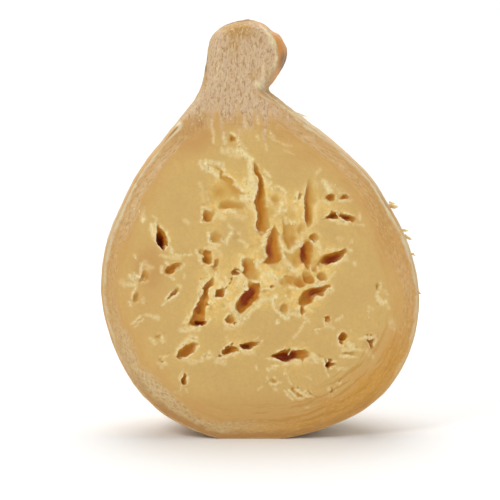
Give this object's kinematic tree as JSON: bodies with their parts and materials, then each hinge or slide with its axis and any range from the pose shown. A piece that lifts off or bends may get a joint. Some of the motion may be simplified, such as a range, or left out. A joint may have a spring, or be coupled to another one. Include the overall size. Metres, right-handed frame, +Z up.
{
  "type": "caciocavallo half",
  "caption": "Pear-shaped aged stretched-curd cheese with a neck and a small round head, cut lengthwise, standing with its flat cut face forward and its eyes and cracks open.",
  "frame": {"origin": "on the ground, in the middle of the box that the half fills", "axes": "+Z up from the belly to the head, -Y out of the flat cut face, +X to the right seen from the cut face"},
  "size_m": [0.1834, 0.1062, 0.24],
  "materials": {
    "cheese": "straw to golden cut paste, satin, with a drier tan zone under a thin glossy golden rind"
  },
  "bodies": {
    "root": {"cheese_half": "cheese"}
  },
  "joints": []
}
